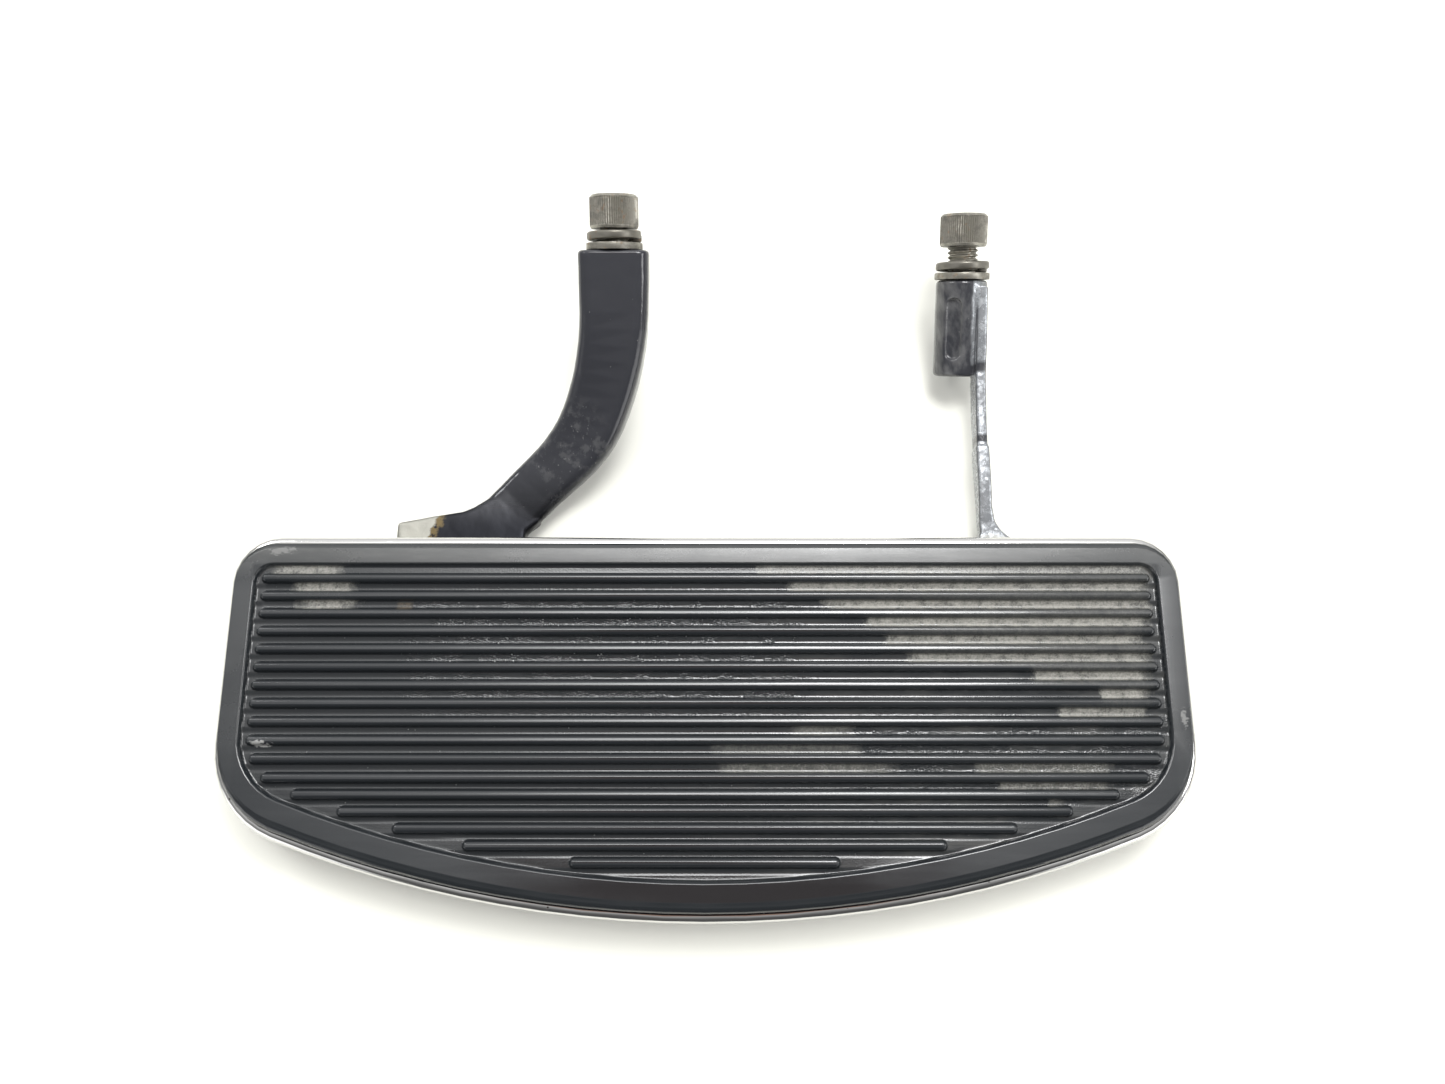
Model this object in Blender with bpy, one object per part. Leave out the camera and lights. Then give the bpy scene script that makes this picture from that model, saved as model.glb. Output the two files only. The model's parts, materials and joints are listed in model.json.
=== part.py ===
# A folding rider's floorboard: a D-shaped cast pan with a ribbed rubber pad, on two hinged arms.
# Metres, +Z up, pad up. X runs along the board and +Y points inboard, towards the motorcycle.
# The origin is on the underside of the skirt, in the middle of the straight inboard wall.

import math

import bmesh
import bpy
from mathutils import Matrix, Vector

# Clearance kept between pieces that touch
FIT_GAP = 0.0003

# Plan outline of the board
BOARD_LENGTH = 0.346
BOARD_DEPTH = 0.1355
BOW_RADIUS = 0.427
OUTER_CORNER_RADIUS = 0.035
INBOARD_CORNER_RADIUS = 0.017
LEAST_CORNER_RADIUS = 0.0035

# Cast pan
PAN_WALL = 0.0025
PAN_HEIGHT = 0.0245
LIP_WIDTH = 0.0035
LIP_ROUNDING = 0.0024
EDGE_BREAK = 0.0005
PAN_RECESS = 0.003
PAN_FLOOR = 0.0025
PAN_FILLET = 0.0015
PAN_RIB_WIDTH = 0.0025
PAN_RIB_DEPTH = 0.004
LONG_RIB_SHARES = (0.378, 0.644)
CROSS_RIB_SHARES = (-0.867, -0.254, 0.254, 0.867)
ROOT_OVERLAP = 0.001

# Rubber pad: its flat border lies between two insets, each from the inboard side, the ends and the bow
PAD_HEIGHT = 0.0085
PAD_SHOULDER = 0.002
BORDER_OUTER = (0.0061, 0.0041, 0.0073)
BORDER_INNER = (0.01105, 0.0101, 0.0130)
BORDER_STEP = 0.0004
BORDER_EDGE = 0.0006
BORDER_SLOPE = 0.0008
PAD_FIELD_DEPTH = 0.0023

# Ribs on the pad: the first from the inboard side and the last from the bow, with a closer lower group
FIRST_RIB_IN = 0.01675
LAST_RIB_IN = 0.0201
UPPER_RIB_COUNT = 12
LOWER_RIB_COUNT = 5
LOWER_PITCH_RATIO = 0.883
RIB_HALF_WIDTH = 0.00225
RIB_END_GAP = 0.00245

# A rib's section: shares of its half width, at shares of the field's depth
RIB_SECTION = ((1.0, -0.35), (1.0, 0.0), (0.80, 0.14), (0.70, 0.5), (0.52, 0.80), (0.22, 0.97))

# Steel plate in the underside of the pad, and its studs
PLATE_THICKNESS = 0.0015
PLATE_MARGIN = 0.003
STUD_RADIUS = 0.003
STUD_LENGTH_SHARE = 0.578
STUD_DEPTH_SHARES = (0.260, 0.747)
STUD_LENGTH = 0.0145
STUD_HOLE_RADIUS = 0.0033
STUD_BOSS_RADIUS = 0.0075
STUD_BOSS_DEPTH = 0.0025
NUT_ACROSS_FLATS = 0.010
NUT_HEIGHT = 0.005
PAD_WASHER_RADIUS = 0.00625
PAD_WASHER_THICKNESS = 0.0012

# Hinges
HINGE_Y = -0.005
HINGE_Z = 0.008
FOLD_RANGE = math.radians(40)
PIN_RADIUS = 0.004
PIN_HEAD_RADIUS = 0.006
PIN_HEAD_LENGTH = 0.003
BARREL_RADIUS = 0.0075
EAR_RADIUS = 0.0062
EAR_THICKNESS = 0.008
EAR_SIDE_GAP = 0.0004
PIN_WASHER_RADIUS = 0.007
PIN_WASHER_THICKNESS = 0.0015
CLIP_RADIUS = 0.0058
CLIP_THICKNESS = 0.001
CLIP_MOUTH = math.radians(70)
PIN_GROOVE_RADIUS = 0.003
PIN_TAIL = 0.0015
FOLD_ROOM = 0.003
LIP_BAND = 0.006

# Arm feet: a tongue on the barrel, and a heel that stops against the pan
FOOT_HALF_THICKNESS = 0.0035
HEEL_REACH = 0.0115
HEEL_THICKNESS = 0.005
HEEL_RISE = 0.006
HEEL_MARGIN_SHARE = 0.2

# Front arm: where its end face is, and the bend that leads down to its foot
FRONT_BARREL = (-0.1179, -0.0690)
FRONT_END = (-0.034, 0.1046, 0.047)
ARM_END_RISE = math.radians(25.5)
FRONT_STRAIGHT = 0.0225
FRONT_BEND_RADIUS = 0.083
FRONT_BEND = math.radians(44)
FRONT_RUN_OUT = 0.024
FRONT_END_HALF_WIDTH = 0.0131
FRONT_WAIST_INNER = 0.0128
FRONT_WAIST_OUTER = 0.0112
FRONT_WAIST_AT = 0.058
FRONT_FOOT_INNER = 0.0150
FRONT_FOOT_OUTER = 0.0063
FRONT_FOOT_AT = 0.094
FRONT_END_HALF_HEIGHT = 0.0098
FRONT_FOOT_RISE = -0.0003
TAPER_START_SHARE = 0.8
ARM_ROUNDING = 0.0042
ROUNDING_SHARE = 0.8
ARM_UNDERSIDE = 2.8
END_CHAMFER = 0.0008
HEADING_STEP = 0.0005

# Edges of the tongues beyond the barrel, from the barrel's rear end and the hinge axis
FRONT_TONGUE = ((0.0053, 0.0156), (0.0040, 0.0230), (-0.0090, 0.0262), (-0.0144, 0.0250), (-0.0201, 0.0213),
                (-0.0241, 0.0195), (-0.0348, 0.0178))
FRONT_TONGUE_LEFT = 0.0151
REAR_TONGUE = ((0, 0.0075), (-0.0040, 0.0100), (-0.0080, 0.0140), (-0.0100, 0.0180), (-0.0125, 0.0180),
               (-0.0140, 0.0120), (-0.0155, 0.0090))
REAR_TONGUE_LEFT = 0.0072

# Rear arm: an upright blade beside a round boss
REAR_BARREL = (0.0985, 0.1185)
REAR_BOSS_END = (0.0992, 0.1038, 0.0255)
BOSS_RADIUS = 0.00985
BOSS_LENGTH = 0.0367
BLADE_X = 0.1056
BLADE_HALF_THICKNESS = 0.0026
BLADE_ROUNDING = 0.001
BLADE_STEP = 0.0005
POCKET_LENGTH = 0.0235
POCKET_HALF_WIDTH = 0.003
POCKET_DEPTH = 0.0015
POCKET_TURN = math.radians(27)
POCKET_CENTRE = 0.0185

# The blade from foot to tip: its centre from BLADE_X, y and z, what its half thickness gains, its half height
BLADE_STATIONS = (
    (0.0039, 0.0000, 0.0080, 0.0040, 0.0033),
    (0.0029, 0.0050, 0.0080, 0.0018, 0.0034),
    (0.0012, 0.0100, 0.0082, 0.0006, 0.0039),
    (0.0006, 0.0160, 0.0092, 0, 0.0046),
    (0.0004, 0.0250, 0.0102, 0, 0.0056),
    (0, 0.0388, 0.0112, 0, 0.0062),
    (0, 0.0396, 0.0112, -BLADE_STEP, 0.0057),
    (0, 0.0540, 0.0120, -BLADE_STEP, 0.0066),
    (0, 0.0660, 0.0142, -BLADE_STEP, 0.0070),
    (0, 0.0674, 0.0148, -BLADE_STEP, 0.0065),
    (0, 0.0820, 0.0205, -BLADE_STEP, 0.0070),
    (0, 0.0980, 0.0270, -BLADE_STEP, 0.0060),
)

# M12 screws and their washers
SCREW_RADIUS = 0.0058
SCREW_LENGTH = 0.035
SCREW_HEAD_RADIUS = 0.009
SCREW_HEAD_LENGTH = 0.012
SCREW_CHAMFER = 0.0008
SOCKET_ACROSS_FLATS = 0.010
SOCKET_DEPTH = 0.006
HOLE_SPARE = 0.003
FRONT_SCREW_OUT = 0.0079
REAR_SCREW_OUT = 0.0128
FLAT_WASHER_RADIUS = 0.0105
FLAT_WASHER_THICKNESS = 0.0025
WASHER_BORE_RADIUS = 0.0065
SPRING_WASHER_RADIUS = 0.0102
SPRING_WASHER_THICKNESS = 0.003
SPRING_WASHER_LIFT = 0.0012
SPRING_WASHER_SPLIT = math.radians(12)

# Facets round a full turn
ROUND = 32
SMALL_ROUND = 24

# Places that follow from the sizes above
HALF_LENGTH = BOARD_LENGTH / 2
INBOARD_Y = PAN_WALL / 2
OUTBOARD_Y = INBOARD_Y - BOARD_DEPTH
BOW_CENTRE_Y = OUTBOARD_Y + BOW_RADIUS
FLOOR_TOP = PAN_HEIGHT - PAN_RECESS
FLOOR_UNDER = FLOOR_TOP - PAN_FLOOR
PAD_BOTTOM = FLOOR_TOP + FIT_GAP
PAD_TOP = FLOOR_TOP + PAD_HEIGHT
PAD_FIELD = PAD_TOP - PAD_FIELD_DEPTH
PLATE_TOP = PAD_BOTTOM + PLATE_THICKNESS
BOSS_UNDER = FLOOR_UNDER - STUD_BOSS_DEPTH
AXIS_TURN = ARM_END_RISE - math.pi / 2


def arc(centre_x, centre_y, radius, start, end, steps):
    """Points on an arc, both ends included."""
    points = []
    for i in range(steps + 1):
        angle = start + (end - start) * i / steps
        points.append((centre_x + radius * math.cos(angle), centre_y + radius * math.sin(angle)))
    return points


def inwards(inset, more=0.0):
    """An inset as its three parts, from the inboard side, the ends and the bow, each with more added."""
    parts = inset if isinstance(inset, tuple) else (inset, inset, inset)
    return tuple(part + more for part in parts)


def outline_sizes(inset):
    """The outline moved inwards: half length, inboard y, bow radius, outer corner radius and its centre."""
    inboard, side, bow = inwards(inset)
    half_length = HALF_LENGTH - side
    bow_radius = BOW_RADIUS - bow
    corner = max(OUTER_CORNER_RADIUS - side, LEAST_CORNER_RADIUS)
    corner_x = half_length - corner
    corner_y = BOW_CENTRE_Y - math.sqrt((bow_radius - corner) ** 2 - corner_x ** 2)
    return half_length, INBOARD_Y - inboard, bow_radius, corner, corner_x, corner_y


def d_outline(inset):
    """The board's plan outline moved inwards by inset, anticlockwise from the inboard right corner."""
    half_length, inboard_y, bow_radius, outer, corner_x, corner_y = outline_sizes(inset)
    corner = max(INBOARD_CORNER_RADIUS - inwards(inset)[1], LEAST_CORNER_RADIUS)
    inner_x = half_length - corner
    inner_y = inboard_y - corner
    swing = math.atan2(corner_x, BOW_CENTRE_Y - corner_y)
    down = 1.5 * math.pi
    points = arc(inner_x, inner_y, corner, 0, math.pi / 2, 6)
    points += arc(-inner_x, inner_y, corner, math.pi / 2, math.pi, 6)
    points += arc(-corner_x, corner_y, outer, math.pi, down - swing, 8)
    points += arc(0, BOW_CENTRE_Y, bow_radius, down - swing, down + swing, 22)[1:-1]
    points += arc(corner_x, corner_y, outer, down + swing, 2 * math.pi, 8)
    return points


def outboard_y(x, inset):
    """Where the outline, moved inwards by inset, crosses x on the outboard side."""
    _, _, bow_radius, corner, corner_x, corner_y = outline_sizes(inset)
    if abs(x) <= corner_x * bow_radius / (bow_radius - corner):
        return BOW_CENTRE_Y - math.sqrt(bow_radius ** 2 - x ** 2)
    return corner_y - math.sqrt(corner ** 2 - (abs(x) - corner_x) ** 2)


def half_length_at(y, inset):
    """Half the length of the outline, moved inwards by inset, at y."""
    half_length, _, bow_radius, corner, corner_x, corner_y = outline_sizes(inset)
    if y > corner_y:
        return half_length
    if y > BOW_CENTRE_Y - (BOW_CENTRE_Y - corner_y) * bow_radius / (bow_radius - corner):
        return corner_x + math.sqrt(corner ** 2 - (y - corner_y) ** 2)
    return math.sqrt(bow_radius ** 2 - (BOW_CENTRE_Y - y) ** 2)


def ring(points, z):
    return [Vector((x, y, z)) for x, y in points]


def stadium(half_length, radius, steps):
    """A slot outline along X with round ends."""
    straight = half_length - radius
    right = arc(straight, 0, radius, -math.pi / 2, math.pi / 2, steps)
    return right + arc(-straight, 0, radius, math.pi / 2, 1.5 * math.pi, steps)


def arm_outline(half_width, half_height, rounding):
    """An arm's section: a flat top with rounded corners, over a full, rounded underside."""
    x, y = half_width - rounding, half_height - rounding
    points = arc(x, y, rounding, 0, math.pi / 2, 4)
    points += arc(-x, y, rounding, math.pi / 2, math.pi, 4)
    steps = 10
    for i in range(steps + 1):
        angle = math.pi * i / steps
        across, down = math.cos(angle), math.sin(angle)
        reach = math.copysign(abs(across) ** (2 / ARM_UNDERSIDE), -across)
        points.append((half_width * reach, -half_height * down ** (2 / ARM_UNDERSIDE)))
    return points


def new_object(name, build):
    """An object whose mesh is filled in by build, with its faces pointing out."""
    mesh = bpy.data.meshes.new(name)
    shape = bmesh.new()
    build(shape)
    bmesh.ops.recalc_face_normals(shape, faces=shape.faces)
    shape.to_mesh(mesh)
    shape.free()
    obj = bpy.data.objects.new(name, mesh)
    bpy.context.scene.collection.objects.link(obj)
    return obj


def loft(name, rings, closed=False):
    """A skin over rings with equal counts: capped at both ends, or closed back on its first ring."""
    def build(shape):
        loops = [[shape.verts.new(point) for point in points] for points in rings]
        pairs = list(zip(loops, loops[1:]))
        if closed:
            pairs.append((loops[-1], loops[0]))
        for lower, upper in pairs:
            count = len(lower)
            for i in range(count):
                j = (i + 1) % count
                shape.faces.new((lower[i], lower[j], upper[j], upper[i]))
        if not closed:
            shape.faces.new(loops[0])
            shape.faces.new(loops[-1])
    return new_object(name, build)


def turned(name, profile, segments, closed=False):
    """A turned piece about Z. An open profile is capped flat at its two ends."""
    rings = []
    for radius, z in profile:
        rings.append([Vector((x, y, z)) for x, y in arc(0, 0, radius, 0, 2 * math.pi, segments)[:-1]])
    return loft(name, rings, closed)


def prism(name, outline, low, high):
    return loft(name, [ring(outline, low), ring(outline, high)])


def block(name, low, high):
    outline = ((low[0], low[1]), (high[0], low[1]), (high[0], high[1]), (low[0], high[1]))
    return prism(name, outline, low[2], high[2])


def shift(obj, matrix):
    obj.data.transform(matrix)
    obj.data.update()


def cylinder_along_x(name, x_low, x_high, y, z, radius, segments):
    obj = turned(name, ((radius, x_low), (radius, x_high)), segments)
    shift(obj, Matrix.Translation((0, y, z)) @ Matrix.Rotation(math.pi / 2, 4, "Y"))
    return obj


def combine(body, tool, operation):
    """Joins or cuts body with tool through a Boolean modifier, then drops the tool."""
    modifier = body.modifiers.new(operation.lower(), "BOOLEAN")
    modifier.operation = operation
    modifier.object = tool
    modifier.solver = "EXACT"
    graph = bpy.context.evaluated_depsgraph_get()
    graph.update()
    result = bpy.data.meshes.new_from_object(body.evaluated_get(graph))
    body.modifiers.clear()
    former, tool_mesh = body.data, tool.data
    result.name = former.name + "_shaped"
    body.data = result
    bpy.data.objects.remove(tool)
    bpy.data.meshes.remove(former)
    bpy.data.meshes.remove(tool_mesh)


def join(body, *tools):
    for tool in tools:
        combine(body, tool, "UNION")


def cut(body, *tools):
    for tool in tools:
        combine(body, tool, "DIFFERENCE")


def finish(obj, material, smooth_under=35):
    """Gives the piece its material, and shades its round faces smooth."""
    obj.data.materials.clear()
    obj.data.materials.append(material)
    obj.data.shade_smooth()
    obj.data.set_sharp_from_angle(angle=math.radians(smooth_under))
    return obj


def principled(name, colour, roughness, metallic):
    material = bpy.data.materials.new(name)
    material.use_nodes = True
    shader = material.node_tree.nodes["Principled BSDF"]
    shader.inputs["Base Color"].default_value = (*colour, 1)
    shader.inputs["Roughness"].default_value = roughness
    shader.inputs["Metallic"].default_value = metallic
    material.diffuse_color = (*colour, 1)
    return material


def clear_scene():
    for obj in list(bpy.data.objects):
        bpy.data.objects.remove(obj)


def hinge_empty(name, barrel):
    """An empty on the hinge axis, which carries all that swings there."""
    empty = bpy.data.objects.new(name, None)
    empty.location = ((barrel[0] + barrel[1]) / 2, HINGE_Y, HINGE_Z)
    empty.empty_display_size = BARREL_RADIUS
    bpy.context.scene.collection.objects.link(empty)
    return empty


def carry(obj, empty):
    """Moves the object's origin to the hinge axis and parents it there, with its shape left in place."""
    shift(obj, Matrix.Translation(-empty.location))
    obj.parent = empty


def place_on_axis(obj, empty, end_face):
    """Stands a piece turned about Z on an arm's end face, with its +Z along the screw's axis."""
    obj.parent = empty
    obj.location = Vector(end_face) - empty.location
    obj.rotation_euler = (AXIS_TURN, 0, 0)


def axis_matrix(end_face):
    return Matrix.Translation(end_face) @ Matrix.Rotation(AXIS_TURN, 4, "X")


# The pan

def pan_shell():
    """One wall from the floor's top, over the rounded lip, down the skirt and back under the floor."""
    lip_inner = LIP_WIDTH - FIT_GAP
    profile = [(lip_inner, FLOOR_TOP), (lip_inner, PAN_HEIGHT - EDGE_BREAK)]
    profile.append((lip_inner - EDGE_BREAK, PAN_HEIGHT))
    steps = 5
    for i in range(steps + 1):
        angle = math.pi / 2 * i / steps
        inset = LIP_ROUNDING * (1 - math.sin(angle))
        profile.append((inset, PAN_HEIGHT - LIP_ROUNDING * (1 - math.cos(angle))))
    profile += [(0, EDGE_BREAK), (EDGE_BREAK, 0), (PAN_WALL - EDGE_BREAK, 0), (PAN_WALL, EDGE_BREAK)]
    profile += [(PAN_WALL, FLOOR_UNDER - PAN_FILLET), (PAN_WALL + PAN_FILLET, FLOOR_UNDER)]
    return loft("deck_pan", [ring(d_outline(inset), z) for inset, z in profile])


def pan_ribs():
    """Low cast ribs under the floor, run into the skirt at both ends."""
    half, low, high = PAN_RIB_WIDTH / 2, FLOOR_UNDER - PAN_RIB_DEPTH, FLOOR_UNDER + ROOT_OVERLAP
    ribs = []
    for share in LONG_RIB_SHARES:
        y = INBOARD_Y - share * BOARD_DEPTH
        end_x = half_length_at(y - half, PAN_WALL / 2)
        ribs.append(block("long_rib", (-end_x, y - half, low), (end_x, y + half, high)))
    for share in CROSS_RIB_SHARES:
        x = share * HALF_LENGTH
        outboard = outboard_y(abs(x) + half, PAN_WALL / 2)
        ribs.append(block("cross_rib", (x - half, outboard, low), (x + half, 0, high)))
    return ribs


def ear(x_low):
    """A hinge ear that hangs from the floor and is rounded about the pin."""
    outline = arc(0, 0, EAR_RADIUS, -math.pi, 0, 10)
    top = FLOOR_UNDER + ROOT_OVERLAP - HINGE_Z
    outline += [(EAR_RADIUS, top), (-EAR_RADIUS, top)]
    rings = []
    for x in (x_low, x_low + EAR_THICKNESS):
        rings.append([Vector((x, HINGE_Y + across, HINGE_Z + up)) for across, up in outline])
    return loft("ear", rings)


def stop_boss(barrel):
    """The pad under the floor that the arm's heel comes up against."""
    low, high = heel_span(barrel)
    outer = HINGE_Y - HEEL_REACH
    bottom = HINGE_Z + HEEL_RISE + FIT_GAP
    inner = HINGE_Y - BARREL_RADIUS + 2 * ROOT_OVERLAP
    return block("stop", (low, outer, bottom), (high, inner, FLOOR_UNDER + ROOT_OVERLAP))


def hinge_notch(barrel):
    """The opening in the inboard skirt, below the lip, that the hinge works in."""
    left = barrel[0] - EAR_SIDE_GAP - EAR_THICKNESS - PIN_HEAD_LENGTH - FOLD_ROOM
    right = barrel[1] + EAR_SIDE_GAP + EAR_THICKNESS + PIN_WASHER_THICKNESS + 2 * FOLD_ROOM
    deep = PAN_WALL + PAN_FILLET / 2
    low = (left, INBOARD_Y - deep, -PAN_WALL)
    return block("notch", low, (right, INBOARD_Y + PAN_WALL, PAN_HEIGHT - LIP_BAND))


def pin_hole(barrel):
    reach = EAR_THICKNESS + PIN_HEAD_LENGTH
    return cylinder_along_x("pin_hole", barrel[0] - reach, barrel[1] + reach, HINGE_Y, HINGE_Z,
                            PIN_RADIUS + FIT_GAP, SMALL_ROUND)


def stud_places():
    x = STUD_LENGTH_SHARE * HALF_LENGTH
    rows = [INBOARD_Y - share * BOARD_DEPTH for share in STUD_DEPTH_SHARES]
    return [(side * x, y) for y in rows for side in (-1, 1)]


def make_deck_pan(material):
    pan = pan_shell()
    for barrel in (FRONT_BARREL, REAR_BARREL):
        cut(pan, hinge_notch(barrel))
    join(pan, *pan_ribs())
    for barrel in (FRONT_BARREL, REAR_BARREL):
        join(pan, ear(barrel[0] - EAR_SIDE_GAP - EAR_THICKNESS), ear(barrel[1] + EAR_SIDE_GAP))
        join(pan, stop_boss(barrel))
        cut(pan, pin_hole(barrel))
    for x, y in stud_places():
        boss = turned("boss", ((STUD_BOSS_RADIUS, BOSS_UNDER), (STUD_BOSS_RADIUS, FLOOR_UNDER + ROOT_OVERLAP)),
                      SMALL_ROUND)
        shift(boss, Matrix.Translation((x, y, 0)))
        join(pan, boss)
        hole = turned("hole", ((STUD_HOLE_RADIUS, 0), (STUD_HOLE_RADIUS, PAN_HEIGHT)), SMALL_ROUND)
        shift(hole, Matrix.Translation((x, y, 0)))
        cut(pan, hole)
    return finish(pan, material)


# The pad

def rib_rows():
    """The y of each rib's crown line: the upper group's pitch, then a closer one towards the bow."""
    room = BOARD_DEPTH - FIRST_RIB_IN - LAST_RIB_IN
    pitch = room / (UPPER_RIB_COUNT - 1 + LOWER_RIB_COUNT * LOWER_PITCH_RATIO)
    rows = [INBOARD_Y - FIRST_RIB_IN - i * pitch for i in range(UPPER_RIB_COUNT)]
    last = rows[-1]
    return rows + [last - (i + 1) * pitch * LOWER_PITCH_RATIO for i in range(LOWER_RIB_COUNT)]


def pad_rib(y):
    """A half-round rib, sunk a little in the field. Its round ends keep one distance from the border."""
    end_centre = half_length_at(y, inwards(BORDER_INNER, RIB_END_GAP + RIB_HALF_WIDTH))
    rings = []
    for spread, rise in RIB_SECTION:
        radius = RIB_HALF_WIDTH * spread
        outline = [(px, py + y) for px, py in stadium(end_centre + radius, radius, 5)]
        rings.append(ring(outline, PAD_FIELD + PAD_FIELD_DEPTH * rise))
    return loft("rib", rings)


def shoulder_rings():
    """The pad's rounded shoulder, from its upright side to the step below the flat border."""
    foot = inwards(LIP_WIDTH)
    crest = inwards(BORDER_OUTER, -BORDER_STEP)
    step_top = PAD_TOP - BORDER_STEP
    steps = 4
    rings = []
    for i in range(steps + 1):
        angle = math.pi / 2 * i / steps
        share = 1 - math.cos(angle)
        inset = tuple(low + (high - low) * share for low, high in zip(foot, crest))
        rings.append((inset, step_top - PAD_SHOULDER * (1 - math.sin(angle))))
    return rings


def make_rubber_pad(material):
    """A pad with a rounded shoulder, a flat border, a sunk field and a pocket below for the steel plate."""
    outer = LIP_WIDTH
    profile = [(outer + PLATE_MARGIN, PLATE_TOP + FIT_GAP), (outer + PLATE_MARGIN, PAD_BOTTOM)]
    profile.append((outer, PAD_BOTTOM))
    profile += shoulder_rings()
    profile += [(BORDER_OUTER, PAD_TOP), (BORDER_INNER, PAD_TOP)]
    edge = inwards(BORDER_INNER, BORDER_EDGE)
    profile.append((edge, PAD_TOP - BORDER_EDGE))
    profile.append((inwards(edge, BORDER_SLOPE / 2), PAD_FIELD + BORDER_SLOPE))
    profile.append((inwards(edge, BORDER_SLOPE * 1.5), PAD_FIELD))
    pad = loft("rubber_pad", [ring(d_outline(inset), z) for inset, z in profile])
    for y in rib_rows():
        join(pad, pad_rib(y))
    return finish(pad, material, 50)


def make_pad_plate(material):
    """The steel plate bonded under the rubber, with four studs down through the pan."""
    inset = LIP_WIDTH + PLATE_MARGIN + FIT_GAP
    plate = prism("pad_plate", d_outline(inset), PAD_BOTTOM, PLATE_TOP)
    tip = PAD_BOTTOM - STUD_LENGTH
    for x, y in stud_places():
        profile = ((STUD_RADIUS - EDGE_BREAK, tip), (STUD_RADIUS, tip + EDGE_BREAK),
                   (STUD_RADIUS, PAD_BOTTOM + PLATE_THICKNESS / 2))
        stud = turned("stud", profile, SMALL_ROUND)
        shift(stud, Matrix.Translation((x, y, 0)))
        join(plate, stud)
    return finish(plate, material)


def make_pad_fasteners(material):
    """A washer and a nut on each stud, under the pan's bosses."""
    bore = STUD_RADIUS + FIT_GAP
    washer_top = BOSS_UNDER - FIT_GAP
    washer_low = washer_top - PAD_WASHER_THICKNESS
    nut_top = washer_low - FIT_GAP
    for number, (x, y) in enumerate(stud_places(), 1):
        profile = ((bore, washer_low), (PAD_WASHER_RADIUS, washer_low), (PAD_WASHER_RADIUS, washer_top),
                   (bore, washer_top))
        washer = turned(f"pad_washer_{number}", profile, SMALL_ROUND, closed=True)
        washer.location = (x, y, 0)
        finish(washer, material)
        hexagon = arc(0, 0, NUT_ACROSS_FLATS / math.sqrt(3), 0, 2 * math.pi, 6)[:-1]
        nut = prism(f"pad_nut_{number}", hexagon, nut_top - NUT_HEIGHT, nut_top)
        cut(nut, turned("bore", ((bore, nut_top - 2 * NUT_HEIGHT), (bore, nut_top + NUT_HEIGHT)), SMALL_ROUND))
        nut.location = (x, y, 0)
        finish(nut, material)


# The hinges

def make_pin_set(end, barrel, material):
    """A headed pin through both ears, with a washer and a spring clip in a groove at its far end."""
    start = barrel[0] - EAR_SIDE_GAP - EAR_THICKNESS - FIT_GAP
    washer_at = barrel[1] + EAR_SIDE_GAP + EAR_THICKNESS + FIT_GAP
    clip_at = washer_at + PIN_WASHER_THICKNESS + FIT_GAP
    groove_end = clip_at + CLIP_THICKNESS + FIT_GAP
    tail = groove_end + PIN_TAIL
    edge = EDGE_BREAK
    head = start - PIN_HEAD_LENGTH
    profile = ((PIN_HEAD_RADIUS - edge, head), (PIN_HEAD_RADIUS, head + edge),
               (PIN_HEAD_RADIUS, start), (PIN_RADIUS, start), (PIN_RADIUS, clip_at - FIT_GAP),
               (PIN_GROOVE_RADIUS, clip_at - FIT_GAP), (PIN_GROOVE_RADIUS, groove_end),
               (PIN_RADIUS, groove_end), (PIN_RADIUS, tail - edge), (PIN_RADIUS - edge, tail))
    along_x = Matrix.Translation((0, HINGE_Y, HINGE_Z)) @ Matrix.Rotation(math.pi / 2, 4, "Y")
    pin = turned(f"{end}_pivot_pin", profile, SMALL_ROUND)
    shift(pin, along_x)
    finish(pin, material)
    bore = PIN_RADIUS + FIT_GAP
    washer_end = washer_at + PIN_WASHER_THICKNESS
    profile = ((bore, washer_at), (PIN_WASHER_RADIUS, washer_at), (PIN_WASHER_RADIUS, washer_end),
               (bore, washer_end))
    washer = turned(f"{end}_pin_washer", profile, SMALL_ROUND, closed=True)
    shift(washer, along_x)
    finish(washer, material)
    make_pin_clip(f"{end}_pin_clip", clip_at, material)


def make_pin_clip(name, clip_at, material):
    """An open ring that snaps into the pin's groove."""
    inner = PIN_GROOVE_RADIUS + FIT_GAP
    rings = []
    steps = 20
    for i in range(steps + 1):
        angle = CLIP_MOUTH / 2 + (2 * math.pi - CLIP_MOUTH) * i / steps - math.pi / 2
        across, up = math.cos(angle), math.sin(angle)
        section = []
        for radius, x in ((inner, 0), (CLIP_RADIUS, 0), (CLIP_RADIUS, CLIP_THICKNESS), (inner, CLIP_THICKNESS)):
            section.append(Vector((clip_at + x, HINGE_Y + radius * across, HINGE_Z + radius * up)))
        rings.append(section)
    finish(loft(name, rings), material)


# The arms

def heel_span(barrel):
    """How much of the barrel's length the heel and its stop take up."""
    margin = (barrel[1] - barrel[0]) * HEEL_MARGIN_SHARE
    return barrel[0] + margin, barrel[1] - margin


def tongue_clear_y():
    """The least y at which a tongue may pass in front of an ear and still clear it when folded."""
    swung = FOOT_HALF_THICKNESS * math.sin(FOLD_RANGE)
    return HINGE_Y + (EAR_RADIUS + FIT_GAP + swung) / math.cos(FOLD_RANGE)


def tongue_outline(barrel, edge, left_reach):
    """A tongue from the barrel's full length out along its edge, back to the barrel's front end."""
    left, right = barrel
    points = [(left, HINGE_Y), (right, HINGE_Y)]
    if edge[0][0] > 0:
        points.append((right, tongue_clear_y()))
    points += [(right + x, HINGE_Y + y) for x, y in edge]
    return points + [(left, HINGE_Y + left_reach)]


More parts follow.
